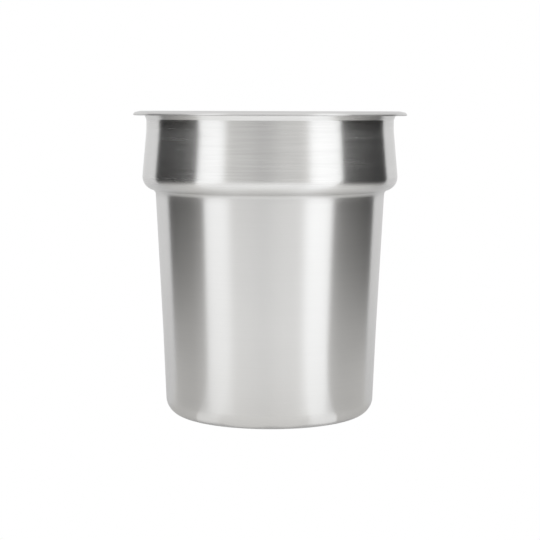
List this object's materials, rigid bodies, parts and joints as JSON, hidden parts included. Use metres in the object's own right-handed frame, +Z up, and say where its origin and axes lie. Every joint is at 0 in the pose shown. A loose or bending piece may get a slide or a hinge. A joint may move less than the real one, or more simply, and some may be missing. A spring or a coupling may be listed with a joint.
{
  "type": "steam table inset pot",
  "caption": "Tall round stainless steel pot with a flared rolled rim, a wider upper band, a stepped shoulder and a tapered body.",
  "frame": {"origin": "centre of the underside of the base, on the surface the pot stands on", "axes": "+Z up along the pot's axis, towards the open mouth; X and Y are free, the pot is round"},
  "size_m": [0.1876, 0.1876, 0.2092],
  "materials": {
    "stainless_steel": "satin, brushed around the pot"
  },
  "bodies": {
    "root": {"pot_shell": "stainless_steel"}
  },
  "joints": []
}
